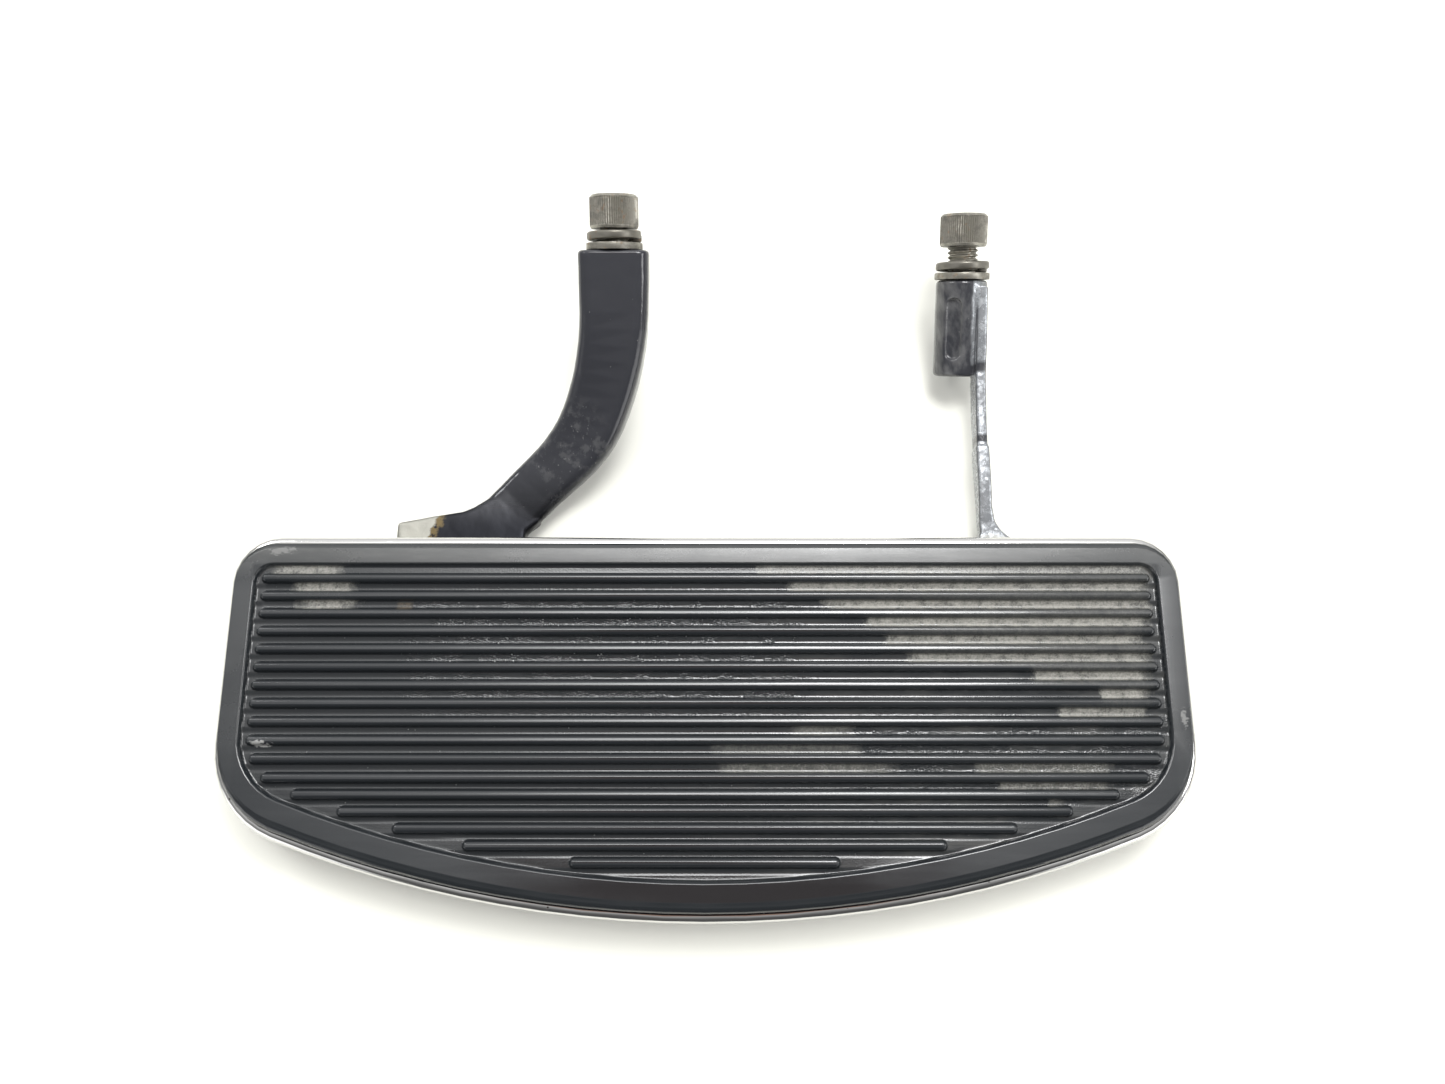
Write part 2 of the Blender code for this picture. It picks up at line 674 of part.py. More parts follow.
def add_hinge_foot(arm, barrel, tongue):
    """Joins the barrel, the tongue that leads out under the lip and the heel, and bores the barrel."""
    low, high = HINGE_Z - FOOT_HALF_THICKNESS, HINGE_Z + FOOT_HALF_THICKNESS
    web = prism("tongue", tongue, low, high)
    bevel = web.modifiers.new("rounded_edges", "BEVEL")
    bevel.width = ROOT_OVERLAP
    bevel.segments = 2
    bevel.limit_method = "ANGLE"
    join(arm, web)
    join(arm, cylinder_along_x("barrel", *barrel, HINGE_Y, HINGE_Z, BARREL_RADIUS, ROUND))
    left, right = heel_span(barrel)
    top = HINGE_Z + HEEL_RISE
    join(arm, block("heel", (left, HINGE_Y - HEEL_REACH, top - HEEL_THICKNESS), (right, HINGE_Y, top)))
    over = PAN_WALL
    cut(arm, cylinder_along_x("bore", barrel[0] - over, barrel[1] + over, HINGE_Y, HINGE_Z,
                              PIN_RADIUS + FIT_GAP, SMALL_ROUND))


def screw_hole(end_face, screw_out):
    depth = SCREW_LENGTH - screw_out + HOLE_SPARE
    radius = SCREW_RADIUS + FIT_GAP
    hole = turned("screw_hole", ((radius, -depth), (radius, PAN_WALL)), ROUND)
    shift(hole, axis_matrix(end_face))
    return hole


def ease(start, end, share, start_rise=0.0):
    """A cubic from start to end that sets out at start_rise over its whole length and ends level."""
    square, cube = share ** 2, share ** 3
    begin = 2 * cube - 3 * square + 1
    lead = cube - 2 * square + share
    return begin * start + lead * start_rise + (1 - begin) * end


def front_arm_point(travel):
    """The front arm's centre and plan heading, at a distance from its end face measured in the plan."""
    straight = FRONT_STRAIGHT * math.cos(ARM_END_RISE)
    bend = FRONT_BEND_RADIUS * FRONT_BEND
    end_x, end_y, end_z = FRONT_END
    turn = min(max(travel - straight, 0) / FRONT_BEND_RADIUS, FRONT_BEND)
    beyond = max(travel - straight - bend, 0)
    x = end_x - FRONT_BEND_RADIUS * (1 - math.cos(turn)) - beyond * math.sin(FRONT_BEND)
    y = end_y - min(travel, straight) - FRONT_BEND_RADIUS * math.sin(turn) - beyond * math.cos(FRONT_BEND)
    slope = math.tan(ARM_END_RISE)
    if travel <= straight:
        z = end_z - travel * slope
    else:
        reach = bend + FRONT_RUN_OUT
        share = min((travel - straight) / reach, 1)
        z = ease(end_z - straight * slope, HINGE_Z + FRONT_FOOT_RISE, share, -slope * reach)
    return Vector((x, y, z)), turn


def section_ring(centre, across, up, outline):
    return [centre + across * x + up * y for x, y in outline]


def front_arm_sides(travel):
    """How far the section reaches towards the inner and the outer side of the bend."""
    if travel < FRONT_WAIST_AT:
        share = travel / FRONT_WAIST_AT
        inner = ease(FRONT_END_HALF_WIDTH, FRONT_WAIST_INNER, share)
        return inner, ease(FRONT_END_HALF_WIDTH, FRONT_WAIST_OUTER, share)
    share = min((travel - FRONT_WAIST_AT) / (FRONT_FOOT_AT - FRONT_WAIST_AT), 1)
    inner = ease(FRONT_WAIST_INNER, FRONT_FOOT_INNER, share)
    return inner, ease(FRONT_WAIST_OUTER, FRONT_FOOT_OUTER, share)


def front_arm_section(travel, shrink=0.0):
    """The rounded section of the front arm, square to its path."""
    total = FRONT_STRAIGHT + FRONT_BEND_RADIUS * FRONT_BEND + FRONT_RUN_OUT
    centre, turn = front_arm_point(travel)
    ahead = front_arm_point(travel + HEADING_STEP)[0] - centre
    across = Vector((math.cos(turn), -math.sin(turn), 0))
    up = across.cross(ahead).normalized()
    if up.z < 0:
        up.negate()
    inner, outer = front_arm_sides(travel)
    lead = FRONT_STRAIGHT * TAPER_START_SHARE
    share = min(max(travel - lead, 0) / (total - lead), 1)
    half_height = ease(FRONT_END_HALF_HEIGHT, FOOT_HALF_THICKNESS, share)
    rounding = min(ARM_ROUNDING, half_height * ROUNDING_SHARE)
    outline = arm_outline((inner + outer) / 2 - shrink, half_height - shrink, rounding - shrink / 2)
    return section_ring(centre + across * (outer - inner) / 2, across, up, outline)


def make_front_arm(empty, material):
    """A forged bar: straight at the screw, bent round and down to a broad tongue under the lip."""
    straight = FRONT_STRAIGHT * math.cos(ARM_END_RISE)
    bend = FRONT_BEND_RADIUS * FRONT_BEND
    rings = [front_arm_section(0, END_CHAMFER), front_arm_section(END_CHAMFER)]
    rings += [front_arm_section(straight * share) for share in (0.5, 1.0)]
    steps = 12
    rings += [front_arm_section(straight + bend * (i + 1) / steps) for i in range(steps)]
    steps = 3
    rings += [front_arm_section(straight + bend + FRONT_RUN_OUT * (i + 1) / steps) for i in range(steps)]
    arm = loft("front_arm", rings)
    add_hinge_foot(arm, FRONT_BARREL, tongue_outline(FRONT_BARREL, FRONT_TONGUE, FRONT_TONGUE_LEFT))
    cut(arm, screw_hole(FRONT_END, FRONT_SCREW_OUT))
    carry(arm, empty)
    return finish(arm, material)


def rear_blade():
    """The upright blade, lofted through its stations."""
    centres = [Vector((BLADE_X + x, y, z)) for x, y, z, _, _ in BLADE_STATIONS]
    rings = []
    for index, (_, _, _, gain, half_height) in enumerate(BLADE_STATIONS):
        before = centres[max(index - 1, 0)]
        after = centres[min(index + 1, len(centres) - 1)]
        heading = after - before
        across = Vector((heading.y, -heading.x, 0)).normalized()
        outline = arm_outline(BLADE_HALF_THICKNESS + gain, half_height, BLADE_ROUNDING)
        rings.append(section_ring(centres[index], across, Vector((0, 0, 1)), outline))
    return loft("rear_arm", rings)


def make_rear_arm(empty, material):
    """An upright blade with a round boss along its inner side, and a foot that turns to the rear."""
    arm = rear_blade()
    profile = ((BOSS_RADIUS - END_CHAMFER, -BOSS_LENGTH), (BOSS_RADIUS, END_CHAMFER - BOSS_LENGTH),
               (BOSS_RADIUS, -END_CHAMFER), (BOSS_RADIUS - END_CHAMFER, 0))
    boss = turned("boss", profile, ROUND)
    shift(boss, axis_matrix(REAR_BOSS_END))
    join(arm, boss)
    add_hinge_foot(arm, REAR_BARREL, tongue_outline(REAR_BARREL, REAR_TONGUE, REAR_TONGUE_LEFT))
    cut(arm, screw_hole(REAR_BOSS_END, REAR_SCREW_OUT))
    slot = stadium(POCKET_LENGTH / 2, POCKET_HALF_WIDTH, 6)
    pocket = prism("pocket", slot, BOSS_RADIUS - POCKET_DEPTH, BOSS_RADIUS + PAN_WALL)
    quarter = math.pi / 2
    lie = Matrix.Rotation(quarter, 4, "X") @ Matrix.Rotation(quarter, 4, "Z")
    turn = Matrix.Rotation(-POCKET_TURN, 4, "Z")
    shift(pocket, axis_matrix(REAR_BOSS_END) @ Matrix.Translation((0, 0, -POCKET_CENTRE)) @ turn @ lie)
    cut(arm, pocket)
    carry(arm, empty)
    return finish(arm, material)


# The screws

def make_mount_screw(name, empty, end_face, screw_out, material):
    """An M12 socket-head cap screw, with its head's underside at z = 0 before it is placed."""
    chamfer = SCREW_CHAMFER
    profile = ((SCREW_RADIUS - chamfer, -SCREW_LENGTH), (SCREW_RADIUS, chamfer - SCREW_LENGTH),
               (SCREW_RADIUS, 0), (SCREW_HEAD_RADIUS, 0), (SCREW_HEAD_RADIUS, SCREW_HEAD_LENGTH - chamfer),
               (SCREW_HEAD_RADIUS - chamfer, SCREW_HEAD_LENGTH))
    screw = turned(name, profile, ROUND)
    hexagon = arc(0, 0, SOCKET_ACROSS_FLATS / math.sqrt(3), 0, 2 * math.pi, 6)[:-1]
    cut(screw, prism("socket", hexagon, SCREW_HEAD_LENGTH - SOCKET_DEPTH, SCREW_HEAD_LENGTH + SOCKET_DEPTH))
    shift(screw, Matrix.Translation((0, 0, screw_out)))
    place_on_axis(screw, empty, end_face)
    return finish(screw, material)


def make_flat_washer(name, empty, end_face, material):
    low, high = FIT_GAP, FIT_GAP + FLAT_WASHER_THICKNESS
    profile = ((WASHER_BORE_RADIUS, low), (FLAT_WASHER_RADIUS, low), (FLAT_WASHER_RADIUS, high),
               (WASHER_BORE_RADIUS, high))
    washer = turned(name, profile, ROUND, closed=True)
    place_on_axis(washer, empty, end_face)
    return finish(washer, material)


def make_spring_washer(name, empty, end_face, material):
    """A split ring whose two ends stand apart by its lift."""
    low = 2 * FIT_GAP + FLAT_WASHER_THICKNESS
    steps = 30
    rings = []
    for i in range(steps + 1):
        share = i / steps
        angle = SPRING_WASHER_SPLIT / 2 + (2 * math.pi - SPRING_WASHER_SPLIT) * share
        bottom = low + SPRING_WASHER_LIFT * share
        top = bottom + SPRING_WASHER_THICKNESS
        section = []
        for radius, z in ((WASHER_BORE_RADIUS, bottom), (SPRING_WASHER_RADIUS, bottom),
                          (SPRING_WASHER_RADIUS, top), (WASHER_BORE_RADIUS, top)):
            section.append(Vector((radius * math.cos(angle), radius * math.sin(angle), z)))
        rings.append(section)
    washer = loft(name, rings)
    place_on_axis(washer, empty, end_face)
    return finish(washer, material)


def make_screw_set(end, empty, end_face, screw_out, material):
    make_mount_screw(f"{end}_mount_screw", empty, end_face, screw_out, material)
    make_flat_washer(f"{end}_flat_washer", empty, end_face, material)
    make_spring_washer(f"{end}_spring_washer", empty, end_face, material)


def main():
    clear_scene()
    chrome = principled("chrome", (0.72, 0.72, 0.73), 0.08, 1.0)
    rubber = principled("black_rubber", (0.018, 0.018, 0.019), 0.45, 0.0)
    paint = principled("black_gloss_paint", (0.012, 0.012, 0.013), 0.15, 0.0)
    zinc = principled("worn_zinc", (0.36, 0.34, 0.30), 0.42, 1.0)
    steel = principled("plain_steel", (0.45, 0.45, 0.45), 0.35, 1.0)
    front = hinge_empty("front_hinge", FRONT_BARREL)
    rear = hinge_empty("rear_hinge", REAR_BARREL)
    make_deck_pan(chrome)
    make_rubber_pad(rubber)
    make_pad_plate(steel)
    make_pad_fasteners(steel)
    make_pin_set("front", FRONT_BARREL, steel)
    make_pin_set("rear", REAR_BARREL, steel)
    make_front_arm(front, paint)
    make_rear_arm(rear, paint)
    make_screw_set("front", front, FRONT_END, FRONT_SCREW_OUT, zinc)
    make_screw_set("rear", rear, REAR_BOSS_END, REAR_SCREW_OUT, zinc)


main()
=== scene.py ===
import json
import math

import bmesh
import bpy
from mathutils import Matrix, Vector


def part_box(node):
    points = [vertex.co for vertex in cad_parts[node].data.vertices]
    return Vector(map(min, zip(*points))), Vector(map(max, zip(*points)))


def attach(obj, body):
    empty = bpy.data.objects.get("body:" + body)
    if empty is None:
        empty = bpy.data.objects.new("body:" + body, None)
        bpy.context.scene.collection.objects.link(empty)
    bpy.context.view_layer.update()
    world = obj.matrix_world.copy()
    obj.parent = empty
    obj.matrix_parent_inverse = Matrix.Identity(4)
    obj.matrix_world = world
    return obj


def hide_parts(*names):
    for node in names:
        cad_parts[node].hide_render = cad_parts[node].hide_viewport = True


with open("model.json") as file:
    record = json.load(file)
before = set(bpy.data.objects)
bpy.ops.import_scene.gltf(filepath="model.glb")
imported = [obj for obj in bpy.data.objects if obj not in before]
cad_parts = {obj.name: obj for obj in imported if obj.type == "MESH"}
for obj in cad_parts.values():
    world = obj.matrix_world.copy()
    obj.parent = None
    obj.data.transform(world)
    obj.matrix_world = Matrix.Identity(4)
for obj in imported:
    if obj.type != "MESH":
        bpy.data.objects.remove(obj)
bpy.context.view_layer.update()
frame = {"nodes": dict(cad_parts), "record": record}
cadNodes = frame["nodes"]
mm = 0.001
print("frame loaded,", len(cadNodes), "nodes")


# Making and finishing meshes

meshLimits = {
    "weld": 0.002 * mm,                         # points closer than this are made one
    "near": 0.01 * mm,                          # how near a plane a point counts as on it
    "flatAngle": 0.3,                           # degrees: faces that meet at less are made one
    "bevelAngle": 40,                           # degrees: only sharper edges are rounded
    "broadFaces": 60,                           # how much broad faces rule the shading of edges beside them
}


def selectOnly(piece):
    if bpy.context.object is not None and bpy.context.object.mode != "OBJECT":
        bpy.ops.object.mode_set(mode="OBJECT")
    bpy.ops.object.select_all(action="DESELECT")
    piece.select_set(True)
    bpy.context.view_layer.objects.active = piece


def pickVertices(piece, wanted):                # in edit mode, by place
    bpy.ops.mesh.select_mode(type="VERT")
    bpy.ops.mesh.select_all(action="DESELECT")
    mesh = bmesh.from_edit_mesh(piece.data)
    for vertex in mesh.verts:
        vertex.select = wanted(vertex.co)
    mesh.select_flush_mode()
    bmesh.update_edit_mesh(piece.data)


def drawIn(piece, wanted, depth, radius):       # moves the wanted points towards the Z axis
    pickVertices(piece, wanted)
    shrink = 1 - depth / radius
    bpy.ops.transform.resize(value=(shrink, shrink, 1), center_override=(0, 0, 0))


def applyModifiers(piece):
    selectOnly(piece)
    for modifier in list(piece.modifiers):
        bpy.ops.object.modifier_apply(modifier=modifier.name)


def settle(piece, matrix=None):                 # puts a piece's place into its mesh
    if matrix is not None:
        piece.matrix_world = matrix
    selectOnly(piece)
    bpy.ops.object.transform_apply(location=True, rotation=True, scale=True)


def smooth(piece, angle):
    selectOnly(piece)
    bpy.ops.object.shade_smooth_by_angle(angle=math.radians(angle))


def keepFlat(piece):                            # broad flat faces keep flat shading beside rounded edges
    weighted = piece.modifiers.new("weighted", "WEIGHTED_NORMAL")
    weighted.keep_sharp = True
    weighted.weight = meshLimits["broadFaces"]
    applyModifiers(piece)


def cutWith(piece, cutter):
    modifier = piece.modifiers.new("cut", "BOOLEAN")
    modifier.operation = "DIFFERENCE"
    modifier.object = cutter
    modifier.solver = "EXACT"
    applyModifiers(piece)
    bpy.data.objects.remove(cutter)


def mergedCopy(nodeName, pieceName):            # a CAD node's shape as one clean mesh
    piece = bpy.data.objects.new(pieceName, cadNodes[nodeName].data.copy())
    bpy.context.scene.collection.objects.link(piece)
    selectOnly(piece)
    bpy.ops.mesh.customdata_custom_splitnormals_clear()
    bpy.ops.object.mode_set(mode="EDIT")
    bpy.ops.mesh.select_all(action="SELECT")
    bpy.ops.mesh.remove_doubles(threshold=meshLimits["weld"])
    bpy.ops.mesh.dissolve_limited(angle_limit=math.radians(meshLimits["flatAngle"]))
    bpy.ops.object.mode_set(mode="OBJECT")
    return piece


def softEdges(piece, width, segments=2):
    bevel = piece.modifiers.new("edges", "BEVEL")
    bevel.width = width
    bevel.segments = segments
    bevel.limit_method = "ANGLE"
    bevel.angle_limit = math.radians(meshLimits["bevelAngle"])
    bevel.use_clamp_overlap = True
    applyModifiers(piece)


def hand(piece, body, slot, material, *replaced):   # last step of every piece
    piece.data.materials.clear()
    piece.data.materials.append(material)
    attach(piece, body)
    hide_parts(*replaced)


# Shader sums: a Wire is one socket, and plain Python maths on it adds the nodes

class Wire:
    def __init__(self, tree, socket=None):
        self.tree = tree
        self.socket = socket

    def node(self, kind, settings=None, inputs=None, output=0):
        made = self.tree.nodes.new("ShaderNode" + kind)
        for name, value in (settings or {}).items():
            if name == "steps":
                fillSteps(made.color_ramp, value)
            else:
                setattr(made, name, value)
        for name, value in (inputs or {}).items():
            if isinstance(value, Wire):
                self.tree.links.new(value.socket, made.inputs[name])
            else:
                made.inputs[name].default_value = value
        return Wire(self.tree, made.outputs[output])

    def maths(self, operation, first, second):
        return self.node("Math", {"operation": operation}, {0: first, 1: second})

    def __add__(self, other):
        return self.maths("ADD", self, other)

    def __radd__(self, other):
        return self.maths("ADD", other, self)

    def __sub__(self, other):
        return self.maths("SUBTRACT", self, other)

    def __rsub__(self, other):
        return self.maths("SUBTRACT", other, self)

    def __mul__(self, other):
        return self.maths("MULTIPLY", self, other)

    def __rmul__(self, other):
        return self.maths("MULTIPLY", other, self)


def fillSteps(ramp, steps):                     # from each place on, that step's level
    ramp.interpolation = "CONSTANT"
    for place, level in steps[1:-1]:
        ramp.elements.new(place)
    for element, (place, level) in zip(ramp.elements, steps):
        element.position = place
        element.color = (level, level, level, 1)


def larger(first, *others):
    for other in others:
        first = first.maths("MAXIMUM", first, other)
    return first


def rise(value, low, high):                     # 0 up to low, 1 from high on
    return value.node("MapRange", {"interpolation_type": "SMOOTHSTEP"},
                      {"Value": value, "From Min": low, "From Max": high})


def riseOver(value, span):                      # the same over a span in mm
    return rise(value, span[0] * mm, span[1] * mm)


def within(value, low, high, soft):
    return rise(value, low - soft, low + soft) * (1 - rise(value, high - soft, high + soft))


def between(value, span, soft):                 # the same, in mm
    return within(value, span[0] * mm, span[1] * mm, soft * mm)


def inArea(x, y, area):                         # area: span of x, its softness, span of y, its softness
    return between(x, *area[:2]) * between(y, *area[2:])


def noise(place, size, detail=3.0, rough=0.55):     # size in mm
    return place.node("TexNoise", {}, {"Vector": place, "Scale": 1 / (size * mm),
                                       "Detail": detail, "Roughness": rough})


def cells(place, size):                         # size in mm
    return place.node("TexVoronoi", {}, {"Vector": place, "Scale": 1 / (size * mm)})


def stretched(place, x, y):
    return place.node("Mapping", {}, {"Vector": place, "Scale": (x, y, 1)})


def blend(amount, under, over):                 # colours
    return amount.node("Mix", {"data_type": "RGBA"}, {0: amount, 6: under, 7: over}, 2)


def bump(height, depth, strength, under=None):  # depth in mm
    inputs = {"Height": height, "Distance": depth * mm, "Strength": strength}
    if under is not None:
        inputs["Normal"] = under
    return height.node("Bump", {}, inputs)


def newMaterial(name, fixed):
    material = bpy.data.materials.new(name)
    material.use_nodes = True
    shader = material.node_tree.nodes["Principled BSDF"]
    for socket, value in fixed.items():
        shader.inputs[socket].default_value = value
    wire = Wire(material.node_tree)
    place = wire.node("TexCoord", output=3)     # object coordinates, in metres
    return material, shader, place


def feed(material, shader, links):
    for socket, wire in links.items():
        material.node_tree.links.new(wire.socket, shader.inputs[socket])
    return material


def axes(place):
    return [place.node("SeparateXYZ", {}, {0: place}, index) for index in range(3)]


def facingUp(place):                            # the surface's own slope: 1 up, -1 down
    return axes(place.node("TexCoord", output=1))[2]


def blot(place, spot, size, ragged):            # an uneven spot seen from above: 1 inside, 0 outside
    x, y = axes(place)[:2]
    across = (x - spot[0] * mm) * (1 / (size[0] * mm))
    along = (y - spot[1] * mm) * (1 / (size[1] * mm))
    return rise(1 - across * across - along * along + (ragged - 0.5) * 6, -0.2, 0.7)


# The rubber of the pad. Spans and places are in mm, x along the board and y towards the arms

padLook = {
    "rubber": (0.0140, 0.0165, 0.0190, 1), "borderTint": (0.068, 0.070, 0.068, 1), "gleam": 0.74,
    # the scuff grey is also the colour of the painted glints of light in the strips
    "dust": (0.36, 0.35, 0.31, 1), "brownDirt": (0.12, 0.095, 0.065, 1), "scuff": (0.34, 0.34, 0.33, 1),
    # the ribs' middles, from the inboard one, then the heights where the strips' floor ends and the border's
    # top begins, and the field that the border frames
    "firstRib": -15.5, "upperPitch": 6.4, "upperRibs": 12, "lowerPitch": 5.65,
    "floorEnds": (27.95, 29.0), "borderTop": (29.2, 29.8), "field": ((-163, 163), 1.0, (-121, -10.6), 0.8),
    # where dry dust lies in each strip, from the inboard one: start, end and strength, twice
    "dustRows": [
        (-158, -130, 0.75, 18, 161, 0.55), (-150, -126, 0.8, 30, 160, 0.8), (-146, -126, 0.8, 43, 160, 0.9),
        (0, 0, 0, 58, 159, 0.95), (0, 0, 0, 63.5, 158, 0.85), (0, 0, 0, 71.5, 158, 0.8),
        (0, 0, 0, 116, 157, 0.9), (0, 0, 0, 138, 157, 1.0), (0, 0, 0, 122, 156, 0.8),
        (28, 52, 0.36, 0, 0, 0), (0, 55, 0.28, 0, 0, 0), (3, 67, 0.40, 93, 142, 0.42),
        (0, 0, 0, 101, 141, 0.50), (0, 0, 0, 118, 123, 0.45), (0, 0, 0, 0, 0, 0),
    ],
    "dustReach": 200, "lastRow": -140,          # x from -200 to 200 and y from 0 to -140 are 0 to 1 in the ramps
    "dustStarts": ((-0.004, 0.018), (-0.004, 0.006)), "dustEnds": (-0.014, 0.004),  # softness, in parts of x
    "wobble": ((2.2, 7), (11, 10)),             # how the edges of dust and water wander: grain and reach
    "film": ((30, 120), (-70, -45)),            # dust on the ribs themselves grows over these spans of x and y
    "haze": (-40, 120),                         # and the thin haze in the strips over this span of x
    # strips that are still wet, and the part of them where painted sparkles of light show
    "leftWet": ((-104, 34), 8, (-64, -21), 6), "rightWet": ((50, 160), 8, (-92, -66), 5),
    "paintedSparkleRows": (-46, -27), "brownSpot": ((-110.5, -105.5), 1, (-27, -24.3), 0.6),
    # worn spots on the border: place, half size and strength, and the chalky rib end at the left
    "scuffs": [
        ((-153, -5.5), (5, 1.5), 0.7), ((-147.5, -99.5), (4.5, 3.5), 1.0), ((166.8, -65.6), (1.2, 3.2), 1.0),
    ],
    "chalk": ((-154.3, -74.4), (3.4, 1.1)),
    "borderFade": (-125, -30), "borderInboard": (-16, -6), "borderGloss": (-120, -40),
    # the hollow between two ribs, in parts of their pitch: where it falls, where it rises, and how far
    "hollowFalls": (0.24, 0.60), "hollowRises": (0.60, 0.76), "hollowRise": 0.22, "hollowDepth": 0.42,
}


def stripRamp(y, column):                       # one number for each strip between two ribs
    across = y.node("MapRange", {}, {"Value": y, "From Min": 0.0, "From Max": padLook["lastRow"] * mm})
    edge = padLook["firstRib"]
    steps = [(0.0, padLook["dustRows"][0][column])]
    for index, row in enumerate(padLook["dustRows"][1:]):
        steps.append((edge / padLook["lastRow"], row[column]))
        edge -= padLook["upperPitch"] if index < padLook["upperRibs"] - 1 else padLook["lowerPitch"]
    if column % 3 < 2:                          # a place, not a strength
        reach = padLook["dustReach"]
        steps = [(spot, (value + reach) / (2 * reach)) for spot, value in steps]
    return across.node("ValToRGB", {"steps": steps}, {"Fac": across})


def dustSpan(y, along, which):                  # the first or the second dusty length of every strip
    start, end, strength = [stripRamp(y, 3 * which + column) for column in range(3)]
    begun = rise(along - start, *padLook["dustStarts"][which])
    return begun * (1 - rise(along - end, *padLook["dustEnds"])) * strength


def trough(y):                                  # the soft hollow between two ribs, as a height for a bump
    firstRib, upperPitch, lowerPitch = [padLook[key] * mm for key in ("firstRib", "upperPitch", "lowerPitch")]
    upperStrips = padLook["upperRibs"] - 1
    lastUpper = firstRib - upperStrips * upperPitch
    upper = larger((firstRib - y) * (1 / upperPitch), 0.0)
    upper = upper.maths("MINIMUM", upper, float(upperStrips))
    phase = upper + larger((lastUpper - y) * (1 / lowerPitch), 0.0)
    phase = phase.maths("FRACT", phase, 0.0)
    return padLook["hollowRise"] * rise(phase, *padLook["hollowRises"]) - rise(phase, *padLook["hollowFalls"])


def dustMask(place, x, y, wobble, grain):       # dry dust, before the ribs hide it
    reach = padLook["dustReach"]
    along = (x + wobble + reach * mm) * (1 / (2 * reach * mm))
    patchy = rise(noise(place, 4, 4, 0.65), 0.34, 0.60)
    dust = larger(dustSpan(y, along, 0), dustSpan(y, along, 1))
    return dust * (0.45 + 0.35 * patchy) * (0.62 + 0.55 * rise(grain, 0.36, 0.64))


def waterMasks(place, x, y, wobble, floor):     # beads of water, and painted glints: specks of light put into the colour on the floor and in the beads
    wet = larger(inArea(x + wobble, y, padLook["leftWet"]), inArea(x + wobble, y, padLook["rightWet"]))
    beaded = wet * rise(noise(place, 7), 0.36, 0.60) * floor
    # painted glints: small bright specks of light laid into the colour, over the floor and more in the beads
    paintedGlints = rise(cells(place, 2.1), 0.10, 0.04) * rise(noise(place, 9), 0.52, 0.62) * floor * 0.5
    paintedSparkle = rise(cells(place, 1.7), 0.20, 0.09) * rise(noise(place, 4), 0.46, 0.58) * beaded
    return beaded, larger(paintedGlints, paintedSparkle * between(y, padLook["paintedSparkleRows"], 2))


def wearMasks(place, y, onTop):                 # the border's grey wear, its scuffs, and the chalky rib end
    rubbed = rise(noise(stretched(place, 0.25, 1), 6, 5, 0.6), 0.40, 0.72)
    inboard = riseOver(y, padLook["borderInboard"])
    tint = onTop * (0.02 + 0.10 * riseOver(y, padLook["borderFade"]) + 0.88 * inboard) * (0.55 + 0.45 * rubbed)
    ragged = noise(stretched(place, 1, 1.5), 2.2, 5, 0.65)
    scuff = larger(*[strength * blot(place, spot, size, ragged) for spot, size, strength in padLook["scuffs"]])
    return tint, scuff * onTop * 0.45, blot(place, *padLook["chalk"], ragged) * 0.9


def rubberMaterial():
    material, shader, place = newMaterial("padRubber", {"Specular IOR Level": padLook["gleam"]})
    x, y, z = axes(place)
    low = 1 - riseOver(z, padLook["floorEnds"])
    inField = inArea(x, y, padLook["field"])
    floor = low * inField
    onTop = riseOver(z, padLook["borderTop"]) * (1 - inField)
    (fineGrain, fineReach), (broadGrain, broadReach) = padLook["wobble"]
    wobble = (noise(place, fineGrain) - 0.5) * fineReach * mm + (noise(place, broadGrain) - 0.5) * broadReach * mm

    grain = noise(place, 0.7, 4, 0.7)
    film = 0.03 + 0.15 * riseOver(x, padLook["film"][0]) * riseOver(y, padLook["film"][1])
    dust = dustMask(place, x, y, wobble, grain) * inField * larger(low, film)
    haze = floor * rise(noise(stretched(place, 0.35, 1), 7, 4), 0.42, 0.75) * 0.10
    haze = haze * riseOver(x, padLook["haze"]) + floor * 0.012
    beaded, paintedGlints = waterMasks(place, x, y, wobble, floor)
    brown = inArea(x, y, padLook["brownSpot"]) * rise(grain, 0.3, 0.5)
    brown = larger(brown, rise(noise(place, 3.1, 4), 0.66, 0.72) * dust)
    tint, scuff, chalk = wearMasks(place, y, onTop)

    colour = blend(tint, padLook["rubber"], padLook["borderTint"])
    colour = blend(larger(haze, dust), colour, padLook["dust"])
    colour = blend(brown * 0.55, colour, padLook["brownDirt"])
    # scuffs and the chalky rib end, and the painted glints of light, all take the scuff grey
    colour = blend(larger(scuff, paintedGlints, chalk), colour, padLook["scuff"])

    wet = rise(noise(stretched(place, 0.22, 0.6), 16, 2), 0.42, 0.60)
    gloss = 0.20 - 0.09 * wet + 0.20 * onTop * (riseOver(y, padLook["borderGloss"]) - 0.3)
    gloss = gloss + floor * (0.02 - 0.08 * beaded)
    rough = larger(gloss, larger(dust, haze * 2) * 0.8) + (noise(place, 1.4) - 0.5) * 0.08

    normal = bump(trough(y) * floor, padLook["hollowDepth"], 1.0)
    normal = bump(cells(place, 0.6) * (beaded + 0.08 * floor), 0.20, 0.9, normal)
    normal = bump(noise(place, 0.35, 3, 0.6), 0.015, 0.6, normal)
    normal = bump(noise(stretched(place, 0.06, 1.4), 0.9, 3, 0.6) * onTop, 0.015, 0.5, normal)
    normal = bump(noise(stretched(place, 0.15, 1), 8, 2), 0.18, 0.5, normal)
    return feed(material, shader, {"Base Color": colour, "Roughness": rough, "Normal": normal})


# The pan's bright plating. Heights and spans are in mm

panLook = {
    "plate": (0.67, 0.665, 0.655, 1), "pit": (0.035, 0.028, 0.022, 1), "castGrey": (0.17, 0.17, 0.165, 1),
    "inside": (18.8, 20.7), "downwards": (-0.6, -0.3),  # under the deck, where the casting was left unplated
    "noPits": (-30, -8), "pitSize": 3.4, "grimeSize": 1.6, "waves": 14,
}


